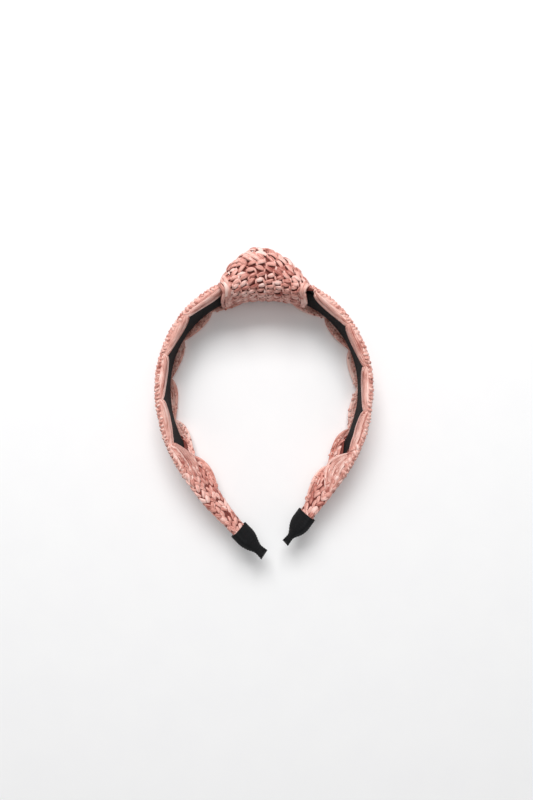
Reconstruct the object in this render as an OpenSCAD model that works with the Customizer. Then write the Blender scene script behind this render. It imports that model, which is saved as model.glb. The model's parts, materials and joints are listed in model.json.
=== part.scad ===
// Knotted headband: a springy hoop under a crocheted raffia strip with a large knot on the crown.
// It lies on its side edge. +Y points from the open tips to the knot, and +Z out of the hoop's plane.

/* [Hoop] */
// Radius of the hoop over the crown of the head
crown_radius = 61; // [50:0.5:75]
// Turn of the crown stretch on each side of its middle, in degrees
crown_turn = 45; // [40:1:50]
// Radius of the shoulders, where the hoop turns down
shoulder_radius = 63; // [52:0.5:76]
// Turn of each shoulder, in degrees
shoulder_turn = 43; // [36:1:48]
// Radius of the sides, over the ears
side_radius = 81; // [66:0.5:98]
// Turn of each side, in degrees
side_turn = 33; // [28:1:38]
// Length of the left arm below the side stretch
left_lower_length = 79; // [66:1:95]
// Length of the right arm below the side stretch
right_lower_length = 65; // [54:1:78]
// Inward bow of the left lower arm, in degrees
left_lower_bow = 17; // [0:1:21]
// Inward bow of the right lower arm, in degrees
right_lower_bow = 7; // [0:1:14]
// Thickness of the springy plastic hoop
hoop_thickness = 2; // [1.4:0.1:2.6]
// Width of the plastic hoop on the crown
crown_width = 24; // [19:0.5:30]
// Width of the plastic hoop at its tips
tip_width = 5; // [4:0.5:8]

/* [Lean] */
// Outward lean of the hoop's wall at the knot, in degrees
crown_lean = 10; // [0:1:14]
// Outward lean of the hoop's wall at the sides, in degrees
side_lean = 4; // [0:1:12]
// Outward lean of the hoop's wall at the tips, in degrees
tip_lean = 40; // [0:1:45]

/* [Lining] */
// Thickness of the woven ribbon on the inner face
lining_thickness = 0.8; // [0.5:0.1:1.2]
// Strip of bare plastic left along each edge of the ribbon
lining_margin = 1; // [0.5:0.1:1.6]

/* [Raffia] */
// Thickness of the crocheted strip
strip_thickness = 2.2; // [1.6:0.1:3]
// Thickness of the strip where it is squeezed into an end cap
strip_tip_thickness = 1; // [0.8:0.1:1.4]
// Length of one scallop along the edge
lobe_length = 27; // [21:0.5:34]
// How much further down the arm the right arm's scallops begin
right_lobe_shift = 7; // [0:0.5:13]
// How far the middle of a scallop bulges beyond its ends
lobe_bulge = 1.2; // [0.4:0.1:2]
// How far a scallop reaches over the lining at its middle
lobe_reach = 4.5; // [2:0.1:6]
// How far the strip reaches over the lining between two scallops, less than nothing where it stops short
valley_reach = -2; // [-3:0.1:1.6]
// Distance from the middle of the crown to where the strip starts to close round the arm
closing_start = 128; // [116:1:140]
// Length over which the strip closes
closing_length = 22; // [16:1:28]

/* [Knot] */
// Length of the knot along the hoop
knot_length = 50; // [40:1:60]
// Height of the knot above the middle of the hoop
knot_rise = 22; // [17:0.5:27]
// Height of the knot's wrap above the middle of the hoop at its two ends
knot_end_rise = 5.4; // [4.8:0.1:7]
// Shift of the knot's highest place to the left
knot_lopsided = 3; // [0:0.5:5]
// Depth of the wrap below the middle of the hoop
knot_under = 6.6; // [5.6:0.1:8]
// Height of the knot's upper side above the hoop's middle plane
knot_half_height = 20; // [16.5:0.5:24]
// Thickness of the wrap over the outer side
wrap_thickness = 3.6; // [2.4:0.1:4.4]

/* [End caps] */
// Length of an end cap, from its mouth to the tip of its tail
cap_length = 22.5; // [18.5:0.5:27]
// Length of the flat tail beyond the pinched neck
tail_length = 6; // [4:0.5:8]
// Width of the left cap's neck
left_neck_width = 6.5; // [4:0.1:8]
// Width of the right cap's neck
right_neck_width = 4; // [3.5:0.1:8]
// Width of the left cap's tail at its end
left_tail_width = 8.5; // [6:0.5:11]
// Width of the right cap's tail at its end
right_tail_width = 6; // [5:0.5:11]
// Thickness of the cap's cloth
cap_wall = 0.7; // [0.5:0.1:1]
// Depth of the notch in the tail's end
notch_depth = 1.8; // [0:0.1:2.5]

/* [Flex] */
// Gap between the crown's pieces and an arm's pieces, where the hoop bends
flex_gap = 0.3; // [0.2:0.05:0.6]

/* [Place] */
// Distance from the centre of the whole headband to the hoop's middle line at the crown
crown_from_centre = 72.85; // [60:0.01:90]

/* [Hidden] */

raffia = "#dd9589";
raffia_light = "#e9aca1";
ribbon_black = "#1f1e1f";
cap_black = "#262627";
plastic_black = "#141414";

glue = 0.1;
sliver = 0.05;
ring_step = 4;
fine = 96;

left_arm = [left_lower_length, left_lower_bow, left_neck_width, left_tail_width];
right_arm = [right_lower_length, right_lower_bow, right_neck_width, right_tail_width];

// The wrapped body under the strip: the hoop with its lining, rounded at both edges.
face_out = hoop_thickness / 2 + glue;
face_in = hoop_thickness / 2 + lining_thickness + 2 * glue;
edge_radius = (face_out + face_in) / 2;
edge_centre = (face_out - face_in) / 2;
edge_run = PI * (edge_radius + strip_thickness / 2);
mid_height = crown_width / 2 + edge_radius + strip_thickness + lobe_bulge;
flex_run = knot_length / 2 + flex_gap / 2;
arm_start = flex_run + flex_gap / 2;
closing_end = closing_start + closing_length;
neck_at = cap_length - tail_length;
core_depth = 0.6 * neck_at;
cap_hollow = core_depth + 1.5;

function arc_run(radius, turn) = radius * turn * PI / 180;
function stretches(arm) = [
    [arc_run(crown_radius, crown_turn), crown_turn],
    [arc_run(shoulder_radius, shoulder_turn), shoulder_turn],
    [arc_run(side_radius, side_turn), side_turn],
    [arm[0], arm[1]]];
function arm_run(arm) = arc_run(crown_radius, crown_turn) + arc_run(shoulder_radius, shoulder_turn)
    + arc_run(side_radius, side_turn) + arm[0];
function cap_mouth(arm) = arm_run(arm) - cap_length;
function core_end(arm) = cap_mouth(arm) + core_depth;

// A place on the hoop's middle line is [x, y, heading], walked along arc by arc from the crown.
function arc_step(at, run, turn) = turn == 0
    ? [at.x + run * cos(at.z), at.y - run * sin(at.z), at.z]
    : let (radius = run * 180 / (PI * turn), heading = at.z + turn)
        [at.x + radius * (sin(heading) - sin(at.z)), at.y + radius * (cos(heading) - cos(at.z)), heading];
function walk(list, at, run, i = 0) =
    let (is_last = i == len(list) - 1)
    let (here = is_last ? run : min(run, list[i][0]))
    let (next = arc_step(at, here, list[i][1] * here / list[i][0]))
    is_last || run <= list[i][0] ? next : walk(list, next, run - list[i][0], i + 1);
function place(arm, run) = walk(stretches(arm), [0, 0, 0], run);

function lean(arm, run) = let (share = run / arm_run(arm))
    lookup(share, [[0.125, crown_lean], [0.32, side_lean], [0.52, side_lean],
        [0.72, side_lean + 0.45 * (tip_lean - side_lean)], [0.88, tip_lean - 3], [1, tip_lean]]);
function half_width(arm, run) = let (share = run / arm_run(arm), crown = crown_width / 2, tip = tip_width / 2)
    lookup(share, [[0, crown], [0.5, crown - 0.4], [0.72, tip + 0.55 * (crown - tip)],
        [0.86, tip + 0.1 * (crown - tip)], [1, tip]]);
function thickness(arm, run) = lookup(cap_mouth(arm) - run, [[0, strip_tip_thickness], [26, strip_thickness]]);

// A point in the frame of the part, from its run along the arm, its distance out and its height.
function spot(arm, run, out, high) =
    let (at = place(arm, run), tilt = lean(arm, run), away = out * cos(tilt) + high * sin(tilt))
    [at.x + away * sin(at.z), at.y + away * cos(at.z), mid_height + high * cos(tilt) - out * sin(tilt)];
function ring(arm, run, line) = [for (p = line) spot(arm, run, p.x, p.y)];
function runs(from, to) = let (count = ceil((to - from) / ring_step))
    [for (i = [0:count]) from + (to - from) * i / count];

// The arm's layers share their rings, so that they keep their distance: the open stretch, then the closed one.
function open_places() = let (closing = runs(closing_start, closing_end))
    concat(runs(arm_start, closing_start), [for (i = [1:len(closing) - 1]) closing[i]]);
function closed_places(to) = concat([for (run = [closing_end + ring_step:ring_step:to - 1]) run], [to]);

// The strip laid out flat: its cross distance from the middle turns into a place round the body.
function wrapped(half, cross, lift) = let (d = abs(cross), side = cross < 0 ? -1 : 1)
    d <= half ? [face_out + lift, cross]
    : d <= half + edge_run ? let (a = (d - half) / edge_run * 180)
        [edge_centre + (edge_radius + lift) * cos(a), side * (half + (edge_radius + lift) * sin(a))]
    : [-face_in - lift, side * (2 * half + edge_run - d)];
function full_cross(half) = 2 * half + edge_run - 0.15;
function closing(run) = max(0, min(1, (run - closing_start) / closing_length));
function lobe(run, lag) = abs(sin((run - flex_run + lag) / lobe_length * 180));
function strip_cross(arm, run) = let (half = half_width(arm, run), open = half - 1)
    run > closing_end ? full_cross(half)
    : open + (full_cross(half) - 5 - open) * closing(run);
function edging_cross(arm, run, lag) = let (half = half_width(arm, run))
    min(full_cross(half), half + edge_run + valley_reach + (lobe_reach - valley_reach) * lobe(run, lag)
        + 2 * half * closing(run));
function stations(half) = [0, half, for (i = [1:4]) half + edge_run * i / 4];

// Faces of a swept skin between an outer and an inner line on every ring.
function quad(a, b, c, d) = [[a, b, c], [a, c, d]];
function flat(list) = [for (part = list) each part];
module skin(outer, inner, is_loop = false) {
    rings = len(outer);
    count = len(outer[0]);
    shift = rings * count;
    last = is_loop ? count - 1 : count - 2;
    function o(i, j) = i * count + j % count;
    function n(i, j) = shift + i * count + j % count;
    walls = flat([for (i = [0:rings - 2], j = [0:last]) concat(
        quad(o(i, j), o(i + 1, j), o(i + 1, j + 1), o(i, j + 1)),
        quad(n(i, j), n(i, j + 1), n(i + 1, j + 1), n(i + 1, j)))]);
    rims = is_loop ? [] : flat([for (i = [0:rings - 2]) concat(
        quad(o(i, count - 1), o(i + 1, count - 1), n(i + 1, count - 1), n(i, count - 1)),
        quad(o(i, 0), n(i, 0), n(i + 1, 0), o(i + 1, 0)))]);
    ends = flat([for (j = [0:last]) concat(
        quad(o(0, j), o(0, j + 1), n(0, j + 1), n(0, j)),
        quad(o(rings - 1, j), n(rings - 1, j), n(rings - 1, j + 1), o(rings - 1, j + 1)))]);
    polyhedron(points = concat(flat(outer), flat(inner)), faces = concat(walls, rims, ends), convexity = 6);
}

// The end of a closed ring, cut into strips across its thickness.
function end_strips(base, count) = let (quarter = count / 4, half = count / 2)
    let (front = [for (k = [0:half]) base + (quarter - k + count) % count])
    let (back = [for (k = [0:half]) base + (quarter + k) % count])
    concat([[front[0], front[1], back[1]]],
        flat([for (k = [1:half - 2]) quad(front[k], front[k + 1], back[k + 1], back[k])]),
        [[front[half - 1], front[half], back[half - 1]]]);
function turned(faces) = [for (face = faces) [face[2], face[1], face[0]]];
function ring_walls(base, rings, count) = flat([for (i = [0:rings - 2], j = [0:count - 1])
    let (here = base + i * count, next = (j + 1) % count)
    quad(here + j, here + count + j, here + count + next, here + next)]);

// A solid through closed rings.
module solid(list) {
    count = len(list[0]);
    polyhedron(points = flat(list), convexity = 4, faces = concat(
        ring_walls(0, len(list), count),
        turned(end_strips(0, count)),
        end_strips((len(list) - 1) * count, count)));
}

// A cup: closed at the far end, open at its first ring.
module cup(outer, inner) {
    count = len(outer[0]);
    shift = len(outer) * count;
    mouth = flat([for (j = [0:count - 1]) let (next = (j + 1) % count)
        quad(j, next, shift + next, shift + j)]);
    polyhedron(points = concat(flat(outer), flat(inner)), convexity = 6, faces = concat(
        ring_walls(0, len(outer), count),
        turned(ring_walls(shift, len(inner), count)),
        mouth,
        end_strips(shift - count, count),
        turned(end_strips(shift + (len(inner) - 1) * count, count))));
}

module placed() {
    translate([0, crown_from_centre, 0])
        children();
}

module left_side() {
    mirror([1, 0, 0])
        children();
}

// A band of even section on the crown: an exact ring sector, leaning outward.
module crown_band(out_low, out_high, half_high) {
    angle = flex_run * 180 / (PI * crown_radius) - flex_gap / 2 * 180 / (PI * crown_radius);
    translate([0, -crown_radius, mid_height])
        rotate([0, 0, 90 - angle])
            rotate_extrude(angle = 2 * angle, $fn = fine)
                translate([crown_radius, 0])
                    rotate(-crown_lean)
                        translate([out_low, -half_high])
                            square([out_high - out_low, 2 * half_high]);
}

module hoop_core_crown() {
    color(plastic_black)
        placed()
            crown_band(-hoop_thickness / 2, hoop_thickness / 2, crown_width / 2);
}

module lining_ribbon_crown() {
    color(ribbon_black)
        placed()
            crown_band(-hoop_thickness / 2 - glue - lining_thickness, -hoop_thickness / 2 - glue,
                crown_width / 2 - lining_margin);
}

// The knot: a dome whose height follows the hoop, on sections that are flat underneath.
function dome(run) = let (shifted = run + knot_lopsided, reach = knot_length / 2 + sign(shifted) * knot_lopsided)
    1 - pow(min(1, abs(shifted) / reach), 1.4);
function bulged(value, power) = sign(value) * pow(abs(value), power);
function knot_spot(run, out, high) = let (turn = run * 180 / (PI * crown_radius))
    [(crown_radius + out) * sin(turn), (crown_radius + out) * cos(turn) - crown_radius, mid_height + high];
function knot_loop(run, low, top, high, floor_high, power) = [for (i = [0:knot_sides - 1])
    let (a = i * 360 / knot_sides, mid = (top + low) / 2, reach = (top - low) / 2)
    knot_spot(run, mid + reach * bulged(cos(a), power), max(-floor_high, high * bulged(sin(a), power)))];
function knot_runs(length, count) = [for (i = [0:count]) length * (i / count - 0.5)];
knot_sides = 24;
wall_lean = crown_width / 2 * sin(crown_lean);
tunnel_low = -face_in - wall_lean - 4 * glue;
tunnel_top = face_out + wall_lean + 4 * glue;
tunnel_high = crown_width / 2 + 2.4;
knot_gap = 0.3;
function tunnel_roof(run) = tunnel_top + (knot_rise - wrap_thickness - tunnel_top) * dome(run);

module knot_wrap() {
    color(raffia)
        placed()
            skin(
                [for (run = knot_runs(knot_length, 14)) knot_loop(run, -knot_under,
                    knot_end_rise + (knot_rise - knot_end_rise) * dome(run), knot_half_height, mid_height, 0.75)],
                [for (run = knot_runs(knot_length, 14)) knot_loop(run, tunnel_low, tunnel_roof(run),
                    tunnel_high, tunnel_high, 0.35)],
                is_loop = true);
}

module knot_gathered_core() {
    color(raffia_light)
        placed()
            solid([for (run = knot_runs(0.72 * knot_length, 10)) knot_loop(run, tunnel_top,
                tunnel_roof(run) - knot_gap, tunnel_high - 1.6, tunnel_high, 0.5)]);
}

module arm_sheet(arm, to, out_low, out_high, margin) {
    places = concat(open_places(), closed_places(to));
    skin(
        [for (run = places) let (h = half_width(arm, run) - margin) ring(arm, run, [[out_high, -h], [out_high, h]])],
        [for (run = places) let (h = half_width(arm, run) - margin) ring(arm, run, [[out_low, -h], [out_low, h]])]);
}

module hoop_core(arm) {
    color(plastic_black)
        arm_sheet(arm, core_end(arm), -hoop_thickness / 2, hoop_thickness / 2, 0);
}

module lining_ribbon(arm) {
    color(ribbon_black)
        arm_sheet(arm, cap_mouth(arm) + 4, -hoop_thickness / 2 - glue - lining_thickness, -hoop_thickness / 2 - glue,
            lining_margin);
}

module crochet_strip(arm) {
    places = concat(open_places(), [closing_end + glue], closed_places(cap_mouth(arm) + 5));
    function side(run) = let (half = half_width(arm, run), cross = strip_cross(arm, run),
        marks = concat(stations(half), [full_cross(half)]), count = len(marks))
        [for (i = [1:count - 1]) min(marks[i], cross - (count - 1 - i) * sliver)];
    function line(run, lift) = let (half = half_width(arm, run), marks = side(run), count = len(marks))
        [for (i = [count - 1:-1:0]) wrapped(half, -marks[i], lift),
            wrapped(half, 0, lift), for (mark = marks) wrapped(half, mark, lift)];
    color(raffia)
        skin([for (run = places) ring(arm, run, line(run, thickness(arm, run)))],
            [for (run = places) ring(arm, run, line(run, 0))]);
}

module scallop_edging(arm, side, lag) {
    opened = open_places();
    places = concat([for (i = [0:len(opened) - 2]) opened[i]], [closing_end - glue]);
    function marks(run) = let (half = half_width(arm, run), low = strip_cross(arm, run) + glue,
        high = edging_cross(arm, run, lag), all = concat([low], [for (i = [1:5]) stations(half)[i]], [high]))
        [for (i = [0:6]) min(max(all[i], low + i * sliver), high - (6 - i) * sliver)];
    function line(run, lift) = let (half = half_width(arm, run), list = marks(run))
        [for (i = [0:6]) wrapped(half, side * list[side > 0 ? i : 6 - i],
            lift + (lift > 0 ? lobe_bulge * lobe(run, lag) * sin(180 * (side > 0 ? i : 6 - i) / 6) : 0))];
    color(raffia_light)
        skin([for (run = places) ring(arm, run, line(run, thickness(arm, run)))],
            [for (run = places) ring(arm, run, line(run, 0))]);
}

// An end cap: a cloth sleeve over the arm's end, pinched to a neck, with a notched flat tail.
cap_sides = 16;
cap_ease = 0.35;
function mouth_half(arm) = half_width(arm, cap_mouth(arm)) + edge_radius + strip_tip_thickness + cap_ease;
mouth_deep = edge_radius + strip_tip_thickness + cap_ease;
function cap_wide(arm, along) = lookup(along, [[0, mouth_half(arm) + cap_wall],
    [0.45 * neck_at, mouth_half(arm) + cap_wall], [0.75 * neck_at, 0.75 * mouth_half(arm)],
    [neck_at, arm[2] / 2], [neck_at + 1.5, arm[2] / 2], [cap_length, arm[3] / 2]]);
function cap_deep(along) = lookup(along, [[0, mouth_deep + cap_wall], [0.6 * neck_at, mouth_deep + cap_wall],
    [neck_at, 1.6], [cap_length, 0.9]]);
function cap_ring(arm, along, wide, deep, notch = 0) = [for (i = [0:cap_sides - 1])
    let (a = i * 360 / cap_sides, high = wide * bulged(sin(a), 0.5))
    spot(arm, cap_mouth(arm) + along - notch * (1 - abs(high) / wide),
        edge_centre + deep * bulged(cos(a), 0.5), high)];

module end_cap(arm) {
    stops = concat([for (i = [0:8]) neck_at * i / 8], [neck_at + 1.5, neck_at + 3.5, cap_length]);
    hollow = [for (i = [0:5]) cap_hollow * i / 5];
    color(cap_black)
        cup([for (along = stops) cap_ring(arm, along, cap_wide(arm, along), cap_deep(along),
                along == cap_length ? notch_depth : 0)],
            [for (along = hollow) cap_ring(arm, along, cap_wide(arm, along) - cap_wall,
                cap_deep(along) - cap_wall)]);
}

hoop_core_crown();
lining_ribbon_crown();
knot_gathered_core();
knot_wrap();
placed() left_side() hoop_core(left_arm);  // hoop_core_left
placed() left_side() lining_ribbon(left_arm);  // lining_ribbon_left
placed() left_side() crochet_strip(left_arm);  // crochet_strip_left
placed() left_side() scallop_edging(left_arm, 1, 0);  // scallop_edging_upper_left
placed() left_side() scallop_edging(left_arm, -1, lobe_length / 2);  // scallop_edging_lower_left
placed() left_side() end_cap(left_arm);  // end_cap_left
placed() hoop_core(right_arm);  // hoop_core_right
placed() lining_ribbon(right_arm);  // lining_ribbon_right
placed() crochet_strip(right_arm);  // crochet_strip_right
placed() scallop_edging(right_arm, 1, -right_lobe_shift);  // scallop_edging_upper_right
placed() scallop_edging(right_arm, -1, lobe_length / 2 - right_lobe_shift);  // scallop_edging_lower_right
placed() end_cap(right_arm);  // end_cap_right
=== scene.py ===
import json
import math
from functools import partial

import bpy
import numpy as np
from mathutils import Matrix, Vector


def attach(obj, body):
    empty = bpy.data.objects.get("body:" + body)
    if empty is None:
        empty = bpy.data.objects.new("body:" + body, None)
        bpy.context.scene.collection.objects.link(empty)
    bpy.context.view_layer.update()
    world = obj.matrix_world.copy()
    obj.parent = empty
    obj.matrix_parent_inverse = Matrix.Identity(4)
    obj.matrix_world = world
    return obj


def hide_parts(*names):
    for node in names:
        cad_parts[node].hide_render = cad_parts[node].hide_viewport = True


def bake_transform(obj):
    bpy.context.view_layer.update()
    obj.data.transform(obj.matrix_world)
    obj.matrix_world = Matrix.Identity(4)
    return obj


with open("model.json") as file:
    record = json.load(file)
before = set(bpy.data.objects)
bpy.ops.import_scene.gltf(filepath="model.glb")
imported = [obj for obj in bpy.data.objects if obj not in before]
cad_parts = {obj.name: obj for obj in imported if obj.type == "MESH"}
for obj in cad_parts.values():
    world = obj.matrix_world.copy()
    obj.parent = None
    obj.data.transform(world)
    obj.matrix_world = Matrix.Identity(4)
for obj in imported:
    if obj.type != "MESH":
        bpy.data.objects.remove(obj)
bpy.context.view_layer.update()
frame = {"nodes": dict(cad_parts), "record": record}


# ---- Camera -------------------------------------------------------------------------------------
# It looks straight down on the headband from arm's length. That is near enough to see into the hoop:
# the lining shows all round, and the outside is hidden.
camera_data = bpy.data.cameras.new("camera")
camera = bpy.data.objects.new("camera", camera_data)
bpy.context.collection.objects.link(camera)
camera_data.sensor_fit = "VERTICAL"
camera_data.sensor_height = 24
camera_data.lens = 19.2
camera.location = (0.0015, 0.0027, 0.410)
bpy.context.scene.camera = camera


# ---- The springy hoop ---------------------------------------------------------------------------
# A strip of black polypropylene, injection moulded in one piece, 2 mm thick and tapered to its tips.
# It is hidden by the lining and the raffia. Each half is one piece here.
MM = 0.001
SIDES = ("left", "right")
# Radius in mm and turn in degrees of each arc from the crown, then length and turn of the last stretch.
HOOP_ARCS = ((61, 45), (63, 43), (81, 33))
LOWER_ARM = {"left": (79, 17), "right": (65, 7)}
CAP_LENGTH = 22.5
TAIL_LENGTH = 6
HOOP_THICKNESS = 2.0
CROWN_HALF = 12.0
TIP_HALF = 2.5
HOOP_STEP = 2.0
# Each half starts a little past the crown's middle, so that the two meet.
PAST_MIDDLE = 0.5
# How far the hoop reaches into a cap, as a share of the cap's sleeve.
CORE_IN_CAP = 0.6
# Degrees by which the hoop's upper edge tips outward.
CROWN_LEAN, SIDE_LEAN, TIP_LEAN = 10, 4, 40
LINING_THICKNESS = 0.8
GLUE = 0.1
FACE_IN = HOOP_THICKNESS / 2 + LINING_THICKNESS + 2 * GLUE
# Two runs from the crown's middle: from under the knot to the shoulder. flex reads them, but nothing bends
# the arms.
BEND_FROM, BEND_TO = 18.0, 82.0
# The head rests on the lining's face, and the hoop's middle line is just outside it.
mounts = {mount["name"]: Vector(mount["pos_m"]) for mount in frame["record"]["mounts"]}
crown_place = mounts["head_fit"] + Vector((0, FACE_IN * MM, 0))


def stretches(side):
    """Length in mm and turn in radians of each stretch of the hoop, from the crown to the tip."""
    arcs = [(radius * math.radians(turn), math.radians(turn)) for radius, turn in HOOP_ARCS]
    length, bow = LOWER_ARM[side]
    return arcs + [(length, math.radians(bow))]


def arm_run(side):
    """The run from the crown's middle to the end of the arm."""
    return sum(length for length, turn in stretches(side))


def cap_mouth(side):
    """The run at which the arm goes into its end cap."""
    return arm_run(side) - CAP_LENGTH


def hoop_line(side, run):
    """Place and heading of the hoop's middle line, in mm, at each run along it from the crown."""
    x, y, heading = (np.zeros_like(run) for i in range(3))
    begun, begun_x, begun_y, begun_heading = 0.0, 0.0, 0.0, 0.0
    for length, turn in stretches(side):
        radius = length / turn
        here = begun_heading + (run - begun) / radius
        inside = (run >= begun) | (begun == 0)
        x = np.where(inside, begun_x + radius * (np.sin(here) - math.sin(begun_heading)), x)
        y = np.where(inside, begun_y + radius * (np.cos(here) - math.cos(begun_heading)), y)
        heading = np.where(inside, here, heading)
        ended = begun_heading + turn
        begun_x += radius * (math.sin(ended) - math.sin(begun_heading))
        begun_y += radius * (math.cos(ended) - math.cos(begun_heading))
        begun, begun_heading = begun + length, ended
    return x, y, heading


def lean(side, run):
    """The hoop's lean in radians: it twists towards its tips."""
    shares = (0.125, 0.32, 0.52, 0.72, 0.88, 1)
    twist = TIP_LEAN - SIDE_LEAN
    leans = (CROWN_LEAN, SIDE_LEAN, SIDE_LEAN, SIDE_LEAN + 0.45 * twist, TIP_LEAN - 3, TIP_LEAN)
    return np.radians(np.interp(run / arm_run(side), shares, leans))


def half_width(side, run):
    """Half the hoop's width: nearly even round the head, then tapered to the tip."""
    taper = CROWN_HALF - TIP_HALF
    halves = (CROWN_HALF, CROWN_HALF - 0.4, TIP_HALF + 0.55 * taper, TIP_HALF + 0.1 * taper, TIP_HALF)
    return np.interp(run / arm_run(side), (0, 0.5, 0.72, 0.86, 1), halves)


def spot(side, run, out, high):
    """A place in mm from its run along an arm, its distance out of the hoop and its height on the wall."""
    x, y, heading = hoop_line(side, run)
    tilt = lean(side, run)
    away = out * np.cos(tilt) + high * np.sin(tilt)
    mirror = -1 if side == "left" else 1
    return np.stack([mirror * (x + away * np.sin(heading)), y + away * np.cos(heading),
                     high * np.cos(tilt) - out * np.sin(tilt)], -1)


def make_piece(name, points, faces, material):
    """A mesh piece from points in mm about the crown's middle."""
    mesh = bpy.data.meshes.new(name)
    mesh.from_pydata((np.asarray(points) * MM + np.array(crown_place)).tolist(), [], faces)
    mesh.validate()
    mesh.polygons.foreach_set("use_smooth", [True] * len(mesh.polygons))
    piece = bpy.data.objects.new(name, mesh)
    bpy.context.collection.objects.link(piece)
    mesh.materials.append(material)
    return piece


def skin_faces(rings, count, closed, flip):
    """Quads between rings of count points each."""
    faces = []
    for i in range(rings - 1):
        for j in range(count if closed else count - 1):
            k = (j + 1) % count
            quad = [i * count + j, (i + 1) * count + j, (i + 1) * count + k, i * count + k]
            faces.append(quad[::-1] if flip else quad)
    return faces


def closed_skin(name, rings, side, material):
    """A solid through closed rings, with its two ends filled."""
    rings = np.asarray(rings)
    total, count = rings.shape[:2]
    flip = side == "left"
    faces = skin_faces(total, count, True, flip)
    ends = [list(range(count)), [(total - 1) * count + j for j in range(count)][::-1]]
    faces += [end[::-1] if flip else end for end in ends]
    return make_piece(name, rings.reshape(-1, 3), faces, material)


def flex(piece):
    """Bakes the piece's transform into its mesh. The hoop's line at the two bend runs is worked out but not
    used, so the piece does not bend.
    """
    x, y, heading = hoop_line("right", np.array([BEND_FROM, BEND_TO]))
    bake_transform(piece)


def srgb(code):
    """A hex colour as linear red, green, blue and alpha."""
    parts = [int(code[i:i + 2], 16) / 255 for i in (1, 3, 5)]
    return [part / 12.92 if part <= 0.04045 else ((part + 0.055) / 1.055) ** 2.4 for part in parts] + [1]


def add_node(tree, kind, settings=(), links=()):
    """Adds a node, gives its settings and socket values, and links its sockets."""
    made = tree.nodes.new(kind)
    for name, value in dict(settings).items():
        if isinstance(name, int) or name in made.inputs:
            made.inputs[name].default_value = value
        else:
            setattr(made, name, value)
    for name, source in dict(links).items():
        tree.links.new(source, made.inputs[name])
    return made


def new_material(name):
    """A new node material, with its tree and its shader."""
    material = bpy.data.materials.new(name)
    material.use_nodes = True
    return material, material.node_tree, material.node_tree.nodes["Principled BSDF"]


# Polypropylene, injection moulded: a satin black with the faint mottle of the mould's spark finish.
hoop_plastic, tree, shader = new_material("moulded_polypropylene")
shader.inputs["IOR"].default_value = 1.49
place = add_node(tree, "ShaderNodeTexCoord")
mottle = add_node(tree, "ShaderNodeTexNoise", {"Scale": 2200, "Detail": 3},
                  {"Vector": place.outputs["Object"]})
black = add_node(tree, "ShaderNodeMix", {"data_type": "RGBA", 6: srgb("#151515"), 7: srgb("#232323")},
                 {0: mottle.outputs["Fac"]})
tree.links.new(black.outputs[2], shader.inputs["Base Color"])
satin = add_node(tree, "ShaderNodeMapRange", {"To Min": 0.38, "To Max": 0.55},
                 {"Value": mottle.outputs["Fac"]})
tree.links.new(satin.outputs["Result"], shader.inputs["Roughness"])
dents = add_node(tree, "ShaderNodeBump", {"Strength": 0.2, "Distance": 0.00003},
                 {"Height": mottle.outputs["Fac"]})
tree.links.new(dents.outputs["Normal"], shader.inputs["Normal"])

# The section's corners, with eased edges, as shares of its half thickness and half width.
hoop_section = ((1, 0.96), (0.55, 1), (-0.55, 1), (-1, 0.96),
                (-1, -0.96), (-0.55, -1), (0.55, -1), (1, -0.96))
for side in SIDES:
    run = np.arange(-PAST_MIDDLE, cap_mouth(side) + CORE_IN_CAP * (CAP_LENGTH - TAIL_LENGTH), HOOP_STEP)
    half = half_width(side, run)
    edge = HOOP_THICKNESS / 2
    rings = np.stack([spot(side, run, out * edge, high * half) for out, high in hoop_section], 1)
    hoop = closed_skin("springy_hoop_" + side, rings, side, hoop_plastic)
    flex(hoop)
    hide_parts("hoop_core_" + side)
    if side == "left":
        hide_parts("hoop_core_crown")


# ---- The ribbon lining --------------------------------------------------------------------------
# Black grosgrain ribbon, 22 mm wide and ribbed across, glued to the hoop's inner face from cap to cap.
RIB_PITCH = 0.8
RIB_HEIGHT = 0.07
RIB_STEPS = 4
LINING_MARGIN = 1.0
LINING_IN_CAP = 3

# Grosgrain, woven of polyester: a fine rib across the ribbon, dull black with a soft sheen.
grosgrain, tree, shader = new_material("woven_grosgrain")
shader.inputs["IOR"].default_value = 1.5
shader.inputs["Sheen Weight"].default_value = 0.03
shader.inputs["Sheen Roughness"].default_value = 0.5
shader.inputs["Specular IOR Level"].default_value = 0.12
place = add_node(tree, "ShaderNodeTexCoord")
thread = add_node(tree, "ShaderNodeTexNoise", {"Scale": 3500, "Detail": 2},
                  {"Vector": place.outputs["Object"]})
patch = add_node(tree, "ShaderNodeTexNoise", {"Scale": 90, "Detail": 2}, {"Vector": place.outputs["Object"]})
worn = add_node(tree, "ShaderNodeMix", {"data_type": "RGBA", 6: srgb("#0b0b0c"), 7: srgb("#141416")},
                {0: thread.outputs["Fac"]})
dusty = add_node(tree, "ShaderNodeMix", {"data_type": "RGBA", "blend_type": "MULTIPLY", 0: 0.5},
                 {6: worn.outputs[2], 7: patch.outputs["Fac"]})
tree.links.new(dusty.outputs[2], shader.inputs["Base Color"])
shader.inputs["Roughness"].default_value = 0.72
weave = add_node(tree, "ShaderNodeBump", {"Strength": 0.35, "Distance": 0.00005},
                 {"Height": thread.outputs["Fac"]})
tree.links.new(weave.outputs["Normal"], shader.inputs["Normal"])

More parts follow.
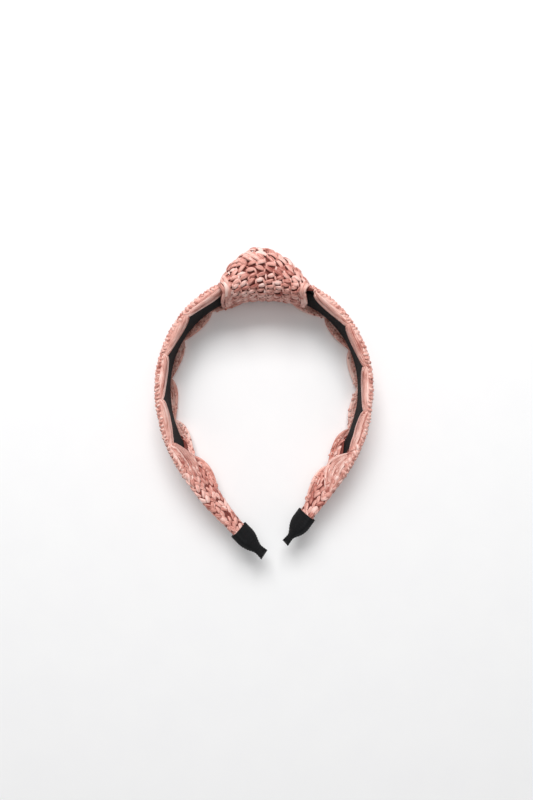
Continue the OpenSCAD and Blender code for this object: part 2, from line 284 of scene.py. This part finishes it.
for side in SIDES:
    length = cap_mouth(side) + LINING_IN_CAP
    run = np.arange(0, length, RIB_PITCH / RIB_STEPS)
    half = half_width(side, run) - LINING_MARGIN
    rib = RIB_HEIGHT * np.cos(2 * math.pi * run / RIB_PITCH)
    face = -HOOP_THICKNESS / 2 - GLUE
    inner = face - LINING_THICKNESS
    shares = np.linspace(-1, 1, 9)
    rings = np.stack([spot(side, run, np.full_like(run, face), share * half) for share in shares]
                     + [spot(side, run, inner + rib * (abs(share) < 1), share * half)
                        for share in shares[::-1]], 1)
    lining = closed_skin("ribbon_lining_" + side, rings, side, grosgrain)
    flex(lining)
    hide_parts("lining_ribbon_" + side)
    if side == "left":
        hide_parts("lining_ribbon_crown")


# ---- The crocheted strip's ground ---------------------------------------------------------------
# The inner layer of the raffia strip, seen between stitches and coloured dark as painted shade for the gaps.
# The strip is stretched over the hoop, curls in over both edges, and closes round the lower arms.
STRIP_THICKNESS = 2.2
STRIP_TIP_THICKNESS = 1.0
KNOT_HALF = 25.0
# The scallops' pitch, and how far their peaks and valleys reach past the hoop's rounded edge.
LOBE_LENGTH = 27.0
LOBE_SHIFT = {"left": 0.0, "right": 7.0}
LOBE_REACH = 4.5
LOBE_SKEW = 0.72
VALLEY_REACH = -4.5
CLOSING_START = 128
CLOSING_LENGTH = 22
STRIP_IN_CAP = 4
GROUND_STEP = 1.2
GROUND_INSET = 1.5
GROUND_LIFT = 0.15
# Shares: of the strip's thickness, and of the rounded edge that the lower side covers.
GROUND_DEPTH = 0.35
LOWER_TURN = 0.4
FACE_OUT = HOOP_THICKNESS / 2 + GLUE
EDGE_RADIUS = (FACE_OUT + FACE_IN) / 2
EDGE_CENTRE = (FACE_OUT - FACE_IN) / 2
EDGE_RUN = math.pi * (EDGE_RADIUS + STRIP_THICKNESS / 2)


def arm_skin(side, run, cross, lift):
    """A place on the strip: along the arm, across the strip from its middle, and off the wrapped body."""
    half = half_width(side, run)
    far = np.abs(cross)
    turn = np.clip((far - half) / EDGE_RUN, 0, 1) * math.pi
    round_out = EDGE_CENTRE + (EDGE_RADIUS + lift) * np.cos(turn)
    round_high = half + (EDGE_RADIUS + lift) * np.sin(turn)
    out = np.where(far <= half, FACE_OUT + lift, np.where(far <= half + EDGE_RUN, round_out, -FACE_IN - lift))
    high = np.where(far <= half, far, np.where(far <= half + EDGE_RUN, round_high, 2 * half + EDGE_RUN - far))
    return spot(side, run, out, np.sign(cross) * high)


def closing(run):
    """From 0 where the strip is open to 1 where it has closed round the arm."""
    return np.clip((run - CLOSING_START) / CLOSING_LENGTH, 0, 1)


def strip_depth(side, run):
    """The strip gets thinner where it is squeezed into an end cap."""
    return np.interp(cap_mouth(side) - run, (0, 26), (STRIP_TIP_THICKNESS, STRIP_THICKNESS))


def full_cross(side, run):
    """The cross distance at which the strip's two edges meet on the inner face."""
    return 2 * half_width(side, run) + EDGE_RUN


def edge_cross(side, run, lag):
    """How far the strip's edge reaches round, from its middle: in scallops, then closed."""
    phase = np.mod((run - KNOT_HALF - LOBE_SHIFT[side] + lag) / LOBE_LENGTH, 1)
    lobe = np.sin(math.pi * phase ** LOBE_SKEW)
    half = half_width(side, run)
    reach = half + EDGE_RUN + VALLEY_REACH + (LOBE_REACH - VALLEY_REACH) * lobe + 2 * half * closing(run)
    return np.minimum(full_cross(side, run), reach)


# Paper raffia, dyed salmon pink and crocheted: the ground lies in shadow between the stitches, so its colour
# is painted shade, a deeper red with streaks along the strip.
raffia_ground_painted_shade, tree, shader = new_material("raffia_ground_painted_shade")
shader.inputs["IOR"].default_value = 1.45
shader.inputs["Roughness"].default_value = 0.8
place = add_node(tree, "ShaderNodeTexCoord")
streak = add_node(tree, "ShaderNodeTexNoise", {"Scale": 700, "Detail": 3},
                  {"Vector": place.outputs["Object"]})
ground = add_node(tree, "ShaderNodeMix", {"data_type": "RGBA", 6: srgb("#56221d"), 7: srgb("#96493e")},
                  {0: streak.outputs["Fac"]})
tree.links.new(ground.outputs[2], shader.inputs["Base Color"])
rough = add_node(tree, "ShaderNodeBump", {"Strength": 0.6, "Distance": 0.0002},
                 {"Height": streak.outputs["Fac"]})
tree.links.new(rough.outputs["Normal"], shader.inputs["Normal"])

grounds = {}
for side in SIDES:
    run = np.arange(2.0, cap_mouth(side) + STRIP_IN_CAP, GROUND_STEP)
    half = half_width(side, run)
    shares = np.linspace(-1, 1, 33)
    upper = edge_cross(side, run, 0) - GROUND_INSET + GROUND_INSET * closing(run)
    lower = half + LOWER_TURN * EDGE_RUN + (half * 2 + (1 - LOWER_TURN) * EDGE_RUN) * closing(run)
    lower = np.minimum(lower, full_cross(side, run))
    lift = GROUND_DEPTH * strip_depth(side, run)
    lines = [np.where(share > 0, upper, lower) * share for share in shares]
    rings = np.stack([arm_skin(side, run, line, lift) for line in lines]
                     + [arm_skin(side, run, line, GROUND_LIFT + 0 * run) for line in lines[::-1]], 1)
    ground_piece = closed_skin("raffia_ground_painted_shade_" + side, rings, side, raffia_ground_painted_shade)
    flex(ground_piece)
    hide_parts("crochet_strip_" + side)
    grounds[side] = (ground_piece, float(np.sum(upper + lower) * GROUND_STEP) * MM * MM)


# ---- Crochet stitches ---------------------------------------------------------------------------
# Each stitch is a loop of folded paper raffia, about 6 mm long and 3 mm wide, that dives under its
# neighbours at both ends. Rows run along the strip and slant in turn, as crochet worked to and fro does.
ROW_PITCH = 3.3
ROWS_EACH_WAY = 8
STITCH_PITCH = 4.3
STITCH_LENGTH = 6.4
STITCH_WIDTH = 3.0
STITCH_SLANT = 28
STITCHES_IN_CAP = 3
UNDER_KNOT = 12
# Shares: of the strip's thickness, and of the rounded edge that the stitches cover on the open stretch.
STITCH_DEPTH = 0.5
OPEN_TURN = 0.35
draw = np.random.default_rng(7)


def new_bank():
    """Strands are gathered in a bank, and a bank becomes one piece."""
    return {"points": [], "faces": [], "fibre": [], "count": 0}


def lay_strand(bank, centre, up, width, thick):
    """Adds one strand of raffia: a flattened, creased tube along centre, flat side towards up."""
    sides = 8
    along = np.gradient(centre, axis=0)
    along /= np.linalg.norm(along, axis=1, keepdims=True) + 1e-9
    across = np.cross(up, along)
    across /= np.linalg.norm(across, axis=1, keepdims=True) + 1e-9
    above = np.cross(along, across)
    turn = np.arange(sides) / sides * 2 * math.pi
    crease = 1 + 0.13 * np.sin(3 * turn + draw.uniform(0, 6.3))
    rings = (centre[:, None]
             + across[:, None] * (np.cos(turn) * crease)[None, :, None] * width[:, None, None] / 2
             + above[:, None] * (np.sin(turn) * crease)[None, :, None] * thick[:, None, None] / 2)
    total = len(centre)
    base = bank["count"]
    walked = np.concatenate([[0], np.cumsum(np.linalg.norm(np.diff(centre, axis=0), axis=1))])
    shade = draw.uniform(0, 1)
    fibre = np.stack(np.broadcast_arrays((np.abs(turn - math.pi) / math.pi * 2)[None, :],
                                         walked[:, None], np.full((1, 1), shade)), -1)
    bank["points"].append(rings.reshape(-1, 3))
    bank["fibre"].append(fibre.reshape(-1, 3))
    i, j = np.meshgrid(np.arange(total - 1), np.arange(sides), indexing="ij")
    k = (j + 1) % sides
    quads = np.stack([i * sides + j, i * sides + k, (i + 1) * sides + k, (i + 1) * sides + j], -1)
    bank["faces"] += (quads.reshape(-1, 4) + base).tolist()
    bank["faces"].append([base + n for n in range(sides)][::-1])
    bank["faces"].append([base + (total - 1) * sides + n for n in range(sides)])
    bank["count"] += total * sides


def bank_piece(name, bank, material):
    """Turns the strands of a bank into one piece, with each strand's fibre direction and shade."""
    piece = make_piece(name, np.concatenate(bank["points"]), bank["faces"], material)
    fibre = piece.data.attributes.new("fibre", "FLOAT_VECTOR", "POINT")
    fibre.data.foreach_set("vector", np.concatenate(bank["fibre"]).ravel().astype(np.float32))
    return piece


def lay_on(bank, skin, run, cross, lift, width, thick):
    """A strand along a path on a skin."""
    centre = skin(run, cross, lift)
    lay_strand(bank, centre, skin(run, cross, lift + 0.2) - centre, width, thick)


def stitch(bank, skin, run, cross, slant, length, width, rise, thick):
    """One oval stitch, its middle raised and its ends tucked in."""
    t = np.linspace(0, 1, 9)
    swell = np.sin(math.pi * t)
    turn = math.radians(slant + draw.uniform(-7, 7))
    length *= draw.uniform(0.92, 1.08)
    step = (t - 0.5) * length
    bow = 0.12 * length * swell * draw.uniform(-0.5, 0.5)
    lay_on(bank, skin, run + step * math.cos(turn) - bow * math.sin(turn),
           cross + step * math.sin(turn) + bow * math.cos(turn),
           rise * (0.12 + 0.88 * swell ** 0.8) + draw.uniform(-0.08, 0.08),
           width * (0.34 + 0.66 * swell ** 0.7) * draw.uniform(0.9, 1.1),
           thick * (0.6 + 0.4 * swell))


def fill_raffia(tree, shader, light, middle, dark_painted_shade):
    """Paper raffia's look: its fibres run along each strand, strands differ in tone at random, and the ramp
    runs from a painted highlight to a painted shade.
    """
    fibre = add_node(tree, "ShaderNodeAttribute", {"attribute_name": "fibre"})
    parts = add_node(tree, "ShaderNodeSeparateXYZ", links={"Vector": fibre.outputs["Vector"]})
    seed = add_node(tree, "ShaderNodeMath", {"operation": "MULTIPLY", 1: 70.0}, {0: parts.outputs["Z"]})
    # Fibres are about 0.2 mm wide and tens of millimetres long.
    drawn = add_node(tree, "ShaderNodeMath", {"operation": "MULTIPLY", 1: 0.12}, {0: parts.outputs["Y"]})
    wide = add_node(tree, "ShaderNodeMath", {"operation": "MULTIPLY", 1: 3.0}, {0: parts.outputs["X"]})
    joined = add_node(tree, "ShaderNodeCombineXYZ",
                      links={"X": wide.outputs[0], "Y": drawn.outputs[0], "Z": seed.outputs[0]})
    lines = add_node(tree, "ShaderNodeTexNoise", {"Scale": 1.6, "Detail": 4, "Roughness": 0.6},
                     {"Vector": joined.outputs[0]})
    place = add_node(tree, "ShaderNodeTexCoord")
    patch = add_node(tree, "ShaderNodeTexNoise", {"Scale": 160, "Detail": 3},
                     {"Vector": place.outputs["Object"]})
    shade = add_node(tree, "ShaderNodeMapRange", {"To Min": -0.16, "To Max": 0.16},
                     {"Value": parts.outputs["Z"]})
    summed = add_node(tree, "ShaderNodeMath", {"operation": "ADD"},
                      {0: lines.outputs["Fac"], 1: shade.outputs[0]})
    mixed = add_node(tree, "ShaderNodeMix", {0: 0.3}, {2: summed.outputs[0], 3: patch.outputs["Fac"]})
    # The ramp's pale end is painted highlight and its dark end painted shade, laid at random along the fibres
    # over the raffia's own tone.
    ramp = add_node(tree, "ShaderNodeValToRGB", links={"Fac": mixed.outputs[0]})
    ramp.color_ramp.elements[0].position = 0.33
    ramp.color_ramp.elements[0].color = srgb(dark_painted_shade)
    ramp.color_ramp.elements[1].position = 0.68
    ramp.color_ramp.elements[1].color = srgb(light)
    ramp.color_ramp.elements.new(0.5).color = srgb(middle)
    tree.links.new(ramp.outputs["Color"], shader.inputs["Base Color"])
    satin = add_node(tree, "ShaderNodeMapRange", {"To Min": 0.62, "To Max": 0.36},
                     {"Value": lines.outputs["Fac"]})
    tree.links.new(satin.outputs["Result"], shader.inputs["Roughness"])
    ridges = add_node(tree, "ShaderNodeBump", {"Strength": 0.7, "Distance": 0.0004},
                      {"Height": lines.outputs["Fac"]})
    tree.links.new(ridges.outputs["Normal"], shader.inputs["Normal"])
    shader.inputs["IOR"].default_value = 1.45
    shader.inputs["Sheen Weight"].default_value = 0.1
    shader.inputs["Sheen Roughness"].default_value = 0.35


# Paper raffia in short stitches: salmon pink, satin along the fibre, with paler streaks of painted highlight
# and darker ones of painted shade.
raffia_stitches, tree, shader = new_material("raffia_stitches")
fill_raffia(tree, shader, "#ffddd4", "#eaa799", "#a25247")

for side in SIDES:
    bank = new_bank()
    skin = partial(arm_skin, side)
    for row in range(-ROWS_EACH_WAY, ROWS_EACH_WAY + 1):
        cross = row * ROW_PITCH
        slant = STITCH_SLANT if row % 2 else -STITCH_SLANT
        run = KNOT_HALF - UNDER_KNOT + (row % 2) * STITCH_PITCH / 2
        while run < cap_mouth(side) + STITCHES_IN_CAP:
            depth = STITCH_DEPTH * float(strip_depth(side, run))
            closed = float(closing(run))
            open_cover = float(half_width(side, run)) + OPEN_TURN * EDGE_RUN
            cover = open_cover + (float(full_cross(side, run)) - open_cover) * closed
            if abs(cross) <= cover + 0.2:
                # The stitches get looser where the strip closes round the arm.
                loose = 3 if closed > 0.3 else 1
                stitch(bank, skin, run + draw.uniform(-0.3, 0.3) * loose,
                       cross + draw.uniform(-0.2, 0.2) * loose, slant + draw.uniform(-6, 6) * loose,
                       STITCH_LENGTH, STITCH_WIDTH, rise=depth, thick=depth)
            run += STITCH_PITCH
    piece = bank_piece("crochet_stitches_" + side, bank, raffia_stitches)
    flex(piece)


# ---- Scalloped edging ---------------------------------------------------------------------------
# Shell stitches of the same raffia along both edges. Each scallop is a leaf of seven long strands, laid
# side by side, that rises over the edge, curls in over the lining, and tucks under the next one.
STRANDS = 7
LOBES = range(-1, 6)
SMALL_STITCHES = 30
LOBE_OVERLAP = 1.5
LOBE_TUCK = 3.5
LOWER_FLARE = 4.4
EAR_FLARE = 5.8
JOINING_PITCH = 2.3
# Runs: the first scallop starts under the knot, the last ones where the strip has closed.
FIRST_LOBE = KNOT_HALF - 16
FIRST_EAR = CLOSING_START - 14
LAST_UPPER_LOBE = CLOSING_START + 14
JOINING_FROM, JOINING_TO = KNOT_HALF - 4, CLOSING_START + 26
# Shares of the rounded edge: where a scallop is rooted, where its nearest strand lies, and where each
# joining row runs, with the way its stitches slant.
LOBE_ROOT = 0.4
NEAREST_STRAND = 0.38
JOINING_LANES = ((0.02, 1), (0.15, -1), (0.28, 1), (0.41, -1))

# Paper raffia in long strands: the same stuff, more satin where it lies smooth, its colours a little paler as
# painted highlight.
raffia_strands, tree, shader = new_material("raffia_long_strands")
fill_raffia(tree, shader, "#ffdfd5", "#eaad9f", "#a65a4d")


def flared_skin(side, run, cross, lift):
    """The strip's lower edge: it turns under the hoop's edge, then sticks out towards the head."""
    half = half_width(side, run)
    under = half + 0.5 * EDGE_RUN
    beyond = np.maximum(0, np.abs(cross) - under)
    hugging = arm_skin(side, run, np.sign(cross) * np.minimum(np.abs(cross), under), lift)
    middle = spot(side, run, np.zeros_like(beyond), np.zeros_like(beyond))
    return hugging + spot(side, run, -beyond, 0.2 * beyond) - middle


edgings = {}
for side in SIDES:
    for level, sign, lag in (("upper", 1, 0.0), ("lower", -1, LOBE_LENGTH / 2)):
        bank = new_bank()
        upper = level == "upper"
        skin = partial(arm_skin if upper else flared_skin, side)
        for lobe in LOBES:
            lobe_run = KNOT_HALF + LOBE_SHIFT[side] - lag + lobe * LOBE_LENGTH
            if lobe_run < FIRST_LOBE or (upper and lobe_run > LAST_UPPER_LOBE):
                continue
            # The last lower scallops stand out further, like small ears.
            flare = EAR_FLARE if lobe_run > FIRST_EAR else LOWER_FLARE
            for strand in range(STRANDS):
                share = (strand + 0.5) / STRANDS
                t = np.linspace(0, 1, 23)
                swell = np.sin(math.pi * t ** LOBE_SKEW) ** 0.85
                run = lobe_run - LOBE_OVERLAP + t * (LOBE_LENGTH + LOBE_TUCK)
                half = half_width(side, run)
                near = half + NEAREST_STRAND * EDGE_RUN
                root = half + LOBE_ROOT * EDGE_RUN
                if upper:
                    peak = half + EDGE_RUN + LOBE_REACH + 2 * half * closing(run) * 0.8
                else:
                    peak = half + 0.5 * EDGE_RUN + flare
                cross = root + (near + (peak - near) * share - root) * swell
                cross = cross + draw.uniform(-0.3, 0.3) * np.sin(t * math.pi * draw.uniform(1.5, 3))
                rise = 0.55 + 0.5 * (1 - t) + 0.5 * np.sin(math.pi * t) * (0.4 + 0.6 * share)
                lay_on(bank, skin, np.clip(run, 6, cap_mouth(side) + 2), sign * cross, rise,
                       (0.9 + 1.5 * swell) * draw.uniform(0.95, 1.2), 0.65 + 0.3 * swell)
            if not upper:
                # Small stitches lie over the flared scallop, between its strands.
                for i in range(SMALL_STITCHES):
                    t = draw.uniform(0.12, 0.88)
                    run = lobe_run + t * LOBE_LENGTH
                    reach = (flare - 0.2) * math.sin(math.pi * t ** LOBE_SKEW) ** 0.7
                    cross = float(half_width(side, run)) + 0.5 * EDGE_RUN + reach * draw.uniform(-0.2, 0.97)
                    stitch(bank, skin, float(np.clip(run, 10, cap_mouth(side))), sign * cross,
                           slant=draw.uniform(-60, 60), length=4.0, width=1.9, rise=1.5, thick=0.9)
        # Rows of small stitches join the scallops to the strip, along the outside of the edge.
        run = JOINING_FROM
        while run < JOINING_TO:
            for lane, way in JOINING_LANES:
                cross = float(half_width(side, run)) + lane * EDGE_RUN + draw.uniform(-0.3, 0.3)
                stitch(bank, skin, run + draw.uniform(-0.5, 0.5), sign * cross, draw.uniform(30, 80) * way,
                       length=3.2, width=1.5, rise=1.35 + draw.uniform(-0.2, 0.3), thick=1.1)
            run += JOINING_PITCH
        piece = bank_piece("scallop_strands_{}_{}".format(level, side), bank, raffia_strands)
        flex(piece)
        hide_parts("scallop_edging_{}_{}".format(level, side))
        edgings.setdefault(side, []).append(piece)
    ground_piece, cut_area = grounds[side]


# ---- The knot -----------------------------------------------------------------------------------
# A crocheted raffia wrap, tied round the crown over a bunch of the strip. Its rows follow the hoop, its
# stitches turn steep and loose over the top, and a selvedge of long strands borders each end.
# The wrap's reach in mm from the hoop's middle line: outward, inward, sideways and down to the table.
KNOT_RISE = 22.0
KNOT_END_RISE = 5.4
KNOT_LOPSIDED = 3.0
KNOT_UNDER = 6.2
KNOT_SAG = 2.6
KNOT_HIGH = 20.0
KNOT_FLOOR = crown_place.z / MM
KNOT_FLARE = 0.17
KNOT_INSET = 1.5
WRAP_THICKNESS = 0.9
KNOT_ROW_PITCH = 3.2
KNOT_STITCH_PITCH = 4.9
RIDGE_LOOPS = 16
crown_radius = HOOP_ARCS[0][0]


def dome(run):
    """From 0 at the knot's ends to 1 at its top, which is a little off the middle."""
    shifted = run + KNOT_LOPSIDED
    reach = KNOT_HALF + np.sign(shifted) * KNOT_LOPSIDED
    return 1 - np.minimum(1, np.abs(shifted) / reach) ** 1.4


def bulged(wave, power):
    """A sine or cosine made squarer, keeping its sign."""
    return np.sign(wave) * np.abs(wave) ** power


def knot_base(run, turn):
    """The wrap's outer face, inset so that raised stitches end on it."""
    top = KNOT_END_RISE + (KNOT_RISE - KNOT_END_RISE) * dome(run) - KNOT_INSET
    low = KNOT_INSET - KNOT_UNDER - KNOT_SAG * (1 - (run / KNOT_HALF) ** 2)
    round_out = bulged(np.cos(turn), 0.8)
    round_high = bulged(np.sin(turn), 0.8)
    out = (top + low) / 2 + (top - low) / 2 * round_out
    high = np.maximum(-KNOT_FLOOR + KNOT_INSET + 0.9, (KNOT_HIGH - KNOT_INSET) * round_high)
    heading = run * (1 + KNOT_FLARE * np.maximum(0, -round_out) ** 1.5) / crown_radius
    radius = crown_radius + out
    return np.stack([radius * np.sin(heading), radius * np.cos(heading) - crown_radius, high], -1)


def knot_skin(run, turn, lift):
    """A place on the knot: along the hoop, round the loop, and off the wrap's face."""
    run, turn, lift = np.broadcast_arrays(np.asarray(run, float), np.asarray(turn, float), lift)
    by_run = knot_base(run + 0.2, turn) - knot_base(run - 0.2, turn)
    by_turn = knot_base(run, turn + 0.02) - knot_base(run, turn - 0.02)
    normal = np.cross(by_run, by_turn)
    normal /= np.linalg.norm(normal, axis=-1, keepdims=True) + 1e-9
    middle = knot_base(run, 0 * turn) * 0.5 + knot_base(run, 0 * turn + math.pi) * 0.5
    outward = np.sum(normal * (knot_base(run, turn) - middle), -1, keepdims=True)
    return knot_base(run, turn) + np.where(outward < 0, -normal, normal) * lift[..., None]


turns = np.linspace(0, 2 * math.pi, 97)[:-1]
runs = np.linspace(-KNOT_HALF, KNOT_HALF, 33)
outer, inner = (np.array([knot_skin(np.full_like(turns, run), turns, lift) for run in runs])
                for lift in (0.0, -WRAP_THICKNESS))
count = len(turns)
faces = skin_faces(len(runs), count, True, False)
shift = len(runs) * count
faces += [[shift + n for n in face[::-1]] for face in faces]
for base in (0, (len(runs) - 1) * count):
    for j in range(count):
        k = (j + 1) % count
        quad = [base + j, base + k, shift + base + k, shift + base + j]
        faces.append(quad if base == 0 else quad[::-1])
# The knot's ground has the ground's painted shade, dark between the knot's stitches.
knot_ground = make_piece("knot_ground", np.concatenate([outer.reshape(-1, 3), inner.reshape(-1, 3)]),
                         faces, raffia_ground_painted_shade)
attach(knot_ground, "crown")
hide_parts("knot_wrap")

# Rows are spaced evenly round the loop, by walking it at the knot's middle.
fine_turns = np.linspace(0, 2 * math.pi, 721)
loop = knot_skin(np.zeros_like(fine_turns), fine_turns, 0.0)
walked = np.concatenate([[0], np.cumsum(np.linalg.norm(np.diff(loop, axis=0), axis=1))])
girth = float(walked[-1])
knot_rows = round(girth / KNOT_ROW_PITCH)
row_height = girth / knot_rows


def wrap_skin(run, cross, lift):
    """The wrap laid flat: cross is the distance round the loop, in mm."""
    return knot_skin(run, np.interp(np.mod(cross, girth), walked, fine_turns), lift)


bank = new_bank()
for row in range(knot_rows):
    cross = row * row_height
    facing_out = math.cos(np.interp(cross, walked, fine_turns))
    over_top = min(1.0, max(0.0, (facing_out - 0.15) / 0.6))
    big = 1 + 0.3 * over_top
    run = -KNOT_HALF + 3.4 + (row % 2) * 1.0
    while run < KNOT_HALF - 1.5:
        slant = (-20 if row % 2 or facing_out < 0 else 24) + 50 * over_top + draw.uniform(-12, 12)
        stitch(bank, wrap_skin, run + draw.uniform(-0.4, 0.4), cross + draw.uniform(-0.3, 0.3), slant,
               length=5.2 * big, width=2.7 * big,
               rise=1.1 + 0.5 * over_top + draw.uniform(-0.3, 0.3), thick=1.1)
        # A post stands between two rows, at the stitch's end.
        stitch(bank, wrap_skin, run + 2.4, cross + 0.5 * row_height, 80 + draw.uniform(-14, 14),
               length=3.8, width=1.3, rise=1.0, thick=0.9)
        run += KNOT_STITCH_PITCH
for i in range(RIDGE_LOOPS):
    # Loose, longer loops stand out along the ridge.
    turn = draw.uniform(0.15, 1.15)
    stitch(bank, wrap_skin, draw.uniform(-17, 12), float(np.interp(turn, fine_turns, walked)),
           slant=draw.uniform(35, 75), length=9.0, width=3.2, rise=2.1, thick=1.3)
knot_stitches = bank_piece("knot_stitches", bank, raffia_stitches)
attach(knot_stitches, "crown")

# The selvedge: long strands that follow one another round the loop, three at one end and two at the other.
SELVEDGE_PARTS = 7
SELVEDGE_OVERLAP = 5
bank = new_bank()
for end, strands in ((-1, 3), (1, 2)):
    for strand in range(strands):
        for part in range(SELVEDGE_PARTS):
            start = (part + 0.35 * strand) * girth / SELVEDGE_PARTS + draw.uniform(-1, 1)
            t = np.linspace(0, 1, 21)
            cross = start + t * (girth / SELVEDGE_PARTS + SELVEDGE_OVERLAP)
            run = end * (KNOT_HALF - 0.6 - strand * 1.5) + 0.7 * np.sin(t * math.pi) * draw.uniform(-1, 1)
            swell = np.sin(math.pi * t) ** 0.6
            lay_on(bank, wrap_skin, run, cross, 0.4 + 1.2 * swell, 0.9 + 1.5 * swell, 0.7 + 0.4 * swell)
knot_selvedge = bank_piece("knot_selvedge", bank, raffia_strands)
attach(knot_selvedge, "crown")

# The bunch of strip inside the knot is covered on all sides: it keeps its shape and gets the ground's look,
# its painted shade.
for bunch_slot in frame["nodes"]["knot_gathered_core"].material_slots:
    bunch_slot.material = raffia_ground_painted_shade


# ---- End caps -----------------------------------------------------------------------------------
# Sleeves of black cloth, shrunk on over the arm's end, pinched to a neck beyond the hoop's tip and
# flared to a notched tail. The mouth stands a little proud of the raffia.
CAP_EASE = 0.35
CAP_WALL = 0.7
NECK_HALF = {"left": 3.25, "right": 2.0}
TAIL_HALF = {"left": 4.25, "right": 3.0}
NECK_DEEP, TAIL_DEEP = 1.6, 0.7
NOTCH = 1.8
LIP_DEPTHS = (3.0, 0.15)
neck_at = CAP_LENGTH - TAIL_LENGTH
mouth_deep = EDGE_RADIUS + STRIP_TIP_THICKNESS + CAP_EASE

# Polyester cloth, shrunk on: dull black with fine crosswise wrinkles that catch a grey light.
cap_cloth, tree, shader = new_material("shrunk_black_cloth")
shader.inputs["IOR"].default_value = 1.5
shader.inputs["Roughness"].default_value = 0.62
shader.inputs["Sheen Weight"].default_value = 0.04
shader.inputs["Sheen Roughness"].default_value = 0.4
shader.inputs["Specular IOR Level"].default_value = 0.15
place = add_node(tree, "ShaderNodeTexCoord")
cloth = add_node(tree, "ShaderNodeTexNoise", {"Scale": 2600, "Detail": 3},
                 {"Vector": place.outputs["Object"]})
folds = add_node(tree, "ShaderNodeTexNoise", {"Scale": 420, "Detail": 4}, {"Vector": place.outputs["Object"]})
worn = add_node(tree, "ShaderNodeMix", {"data_type": "RGBA", 6: srgb("#0b0b0c"), 7: srgb("#18191b")},
                {0: folds.outputs["Fac"]})
tree.links.new(worn.outputs[2], shader.inputs["Base Color"])
blended = add_node(tree, "ShaderNodeMath", {"operation": "ADD"},
                   {0: cloth.outputs["Fac"], 1: folds.outputs["Fac"]})
grain = add_node(tree, "ShaderNodeBump", {"Strength": 0.5, "Distance": 0.00012},
                 {"Height": blended.outputs[0]})
tree.links.new(grain.outputs["Normal"], shader.inputs["Normal"])

smooth = np.ones(9) / 9
turn = np.arange(48) / 48 * 2 * math.pi
for side in SIDES:
    mouth_half = float(half_width(side, cap_mouth(side))) + mouth_deep
    along = np.concatenate([np.arange(0, neck_at, 0.35), np.linspace(neck_at, CAP_LENGTH, 18)])
    wide = np.interp(along, (0, 0.45 * neck_at, 0.75 * neck_at, neck_at, neck_at + 1.5, CAP_LENGTH),
                     (mouth_half + CAP_WALL, mouth_half + CAP_WALL, 0.85 * mouth_half,
                      NECK_HALF[side], NECK_HALF[side], TAIL_HALF[side]))
    deep = np.interp(along, (0, 0.6 * neck_at, neck_at, CAP_LENGTH),
                     (mouth_deep + CAP_WALL, mouth_deep + CAP_WALL, NECK_DEEP, TAIL_DEEP))
    wide = np.convolve(np.pad(wide, 4, mode="edge"), smooth, "valid")[:, None]
    deep = np.convolve(np.pad(deep, 4, mode="edge"), smooth, "valid")[:, None]
    along, round_arm = np.meshgrid(along, turn, indexing="ij")
    # Fine wrinkles run round the cap, and broad folds run into its pinched neck.
    fine = np.sin(along * 4.1 + 1.5 * np.sin(2 * round_arm))
    fine *= np.interp(along, (0, 4, 14, 25), (0, 0.5, 1.2, 0.8))
    broad = np.sin(3 * round_arm + along * 0.35) * np.interp(along, (0, 8, 16, 25), (0, 0.4, 1, 0.5))
    wrinkle = 0.12 * fine + 0.16 * broad
    high = (wide + wrinkle * 0.6) * bulged(np.sin(round_arm), 0.6)
    out = EDGE_CENTRE + (deep + wrinkle * 0.8) * bulged(np.cos(round_arm), 0.6)
    pulled = np.interp(along, (neck_at + 1, CAP_LENGTH), (0, NOTCH)) * (1 - np.abs(high) / wide)
    rings = spot(side, cap_mouth(side) + along - pulled, out, high)
    # The lip is turned in and runs back inside the mouth.
    lip_out = EDGE_CENTRE + (out[0] - EDGE_CENTRE) * 0.86
    lips = [spot(side, np.full_like(turn, cap_mouth(side) + depth), lip_out, high[0] * 0.93)
            for depth in LIP_DEPTHS]
    rings = np.concatenate([np.array(lips), rings])
    cap = closed_skin("end_cap_cloth_" + side, rings, side, cap_cloth)
    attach(cap, side + "_arm")
    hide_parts("end_cap_" + side)


# ---- Studio -------------------------------------------------------------------------------------
# A white table top under one broad soft light from beyond the knot, and an even white surround.
white_table, tree, shader = new_material("painted_table_top")
shader.inputs["Roughness"].default_value = 0.7
place = add_node(tree, "ShaderNodeTexCoord")
brush = add_node(tree, "ShaderNodeTexNoise", {"Scale": 40, "Detail": 4}, {"Vector": place.outputs["Object"]})
paint = add_node(tree, "ShaderNodeMix", {"data_type": "RGBA", 6: srgb("#f4f4f5"), 7: srgb("#f8f8f8")},
                 {0: brush.outputs["Fac"]})
tree.links.new(paint.outputs[2], shader.inputs["Base Color"])
TABLE_HALF = 2
table_mesh = bpy.data.meshes.new("table_top")
corners = [(x * TABLE_HALF, y * TABLE_HALF, 0) for x, y in ((-1, -1), (1, -1), (1, 1), (-1, 1))]
table_mesh.from_pydata(corners, [], [(0, 1, 2, 3)])
table_mesh.materials.append(white_table)
table_top = bpy.data.objects.new("table_top", table_mesh)
bpy.context.collection.objects.link(table_top)


def soft_light(name, place, aim, size, power):
    """A rectangular area light, aimed at a point."""
    data = bpy.data.lights.new(name, "AREA")
    data.shape = "RECTANGLE"
    data.size, data.size_y = size
    data.energy = power
    light = bpy.data.objects.new(name, data)
    light.location = place
    light.rotation_euler = (Vector(aim) - Vector(place)).to_track_quat("-Z", "Y").to_euler()
    bpy.context.collection.objects.link(light)


soft_light("window", (-0.1, 1.0, 1.2), (0, 0.05, 0), (0.9, 0.7), 20)
soft_light("ceiling", (0.0, 0.3, 1.6), (0, 0, 0), (1.4, 1.4), 5)
world = bpy.data.worlds.new("surround")
world.use_nodes = True
world.node_tree.nodes["Background"].inputs["Color"].default_value = (1, 1, 1, 1)
world.node_tree.nodes["Background"].inputs["Strength"].default_value = 0.36
bpy.context.scene.world = world
bpy.context.scene.view_settings.view_transform = "Standard"
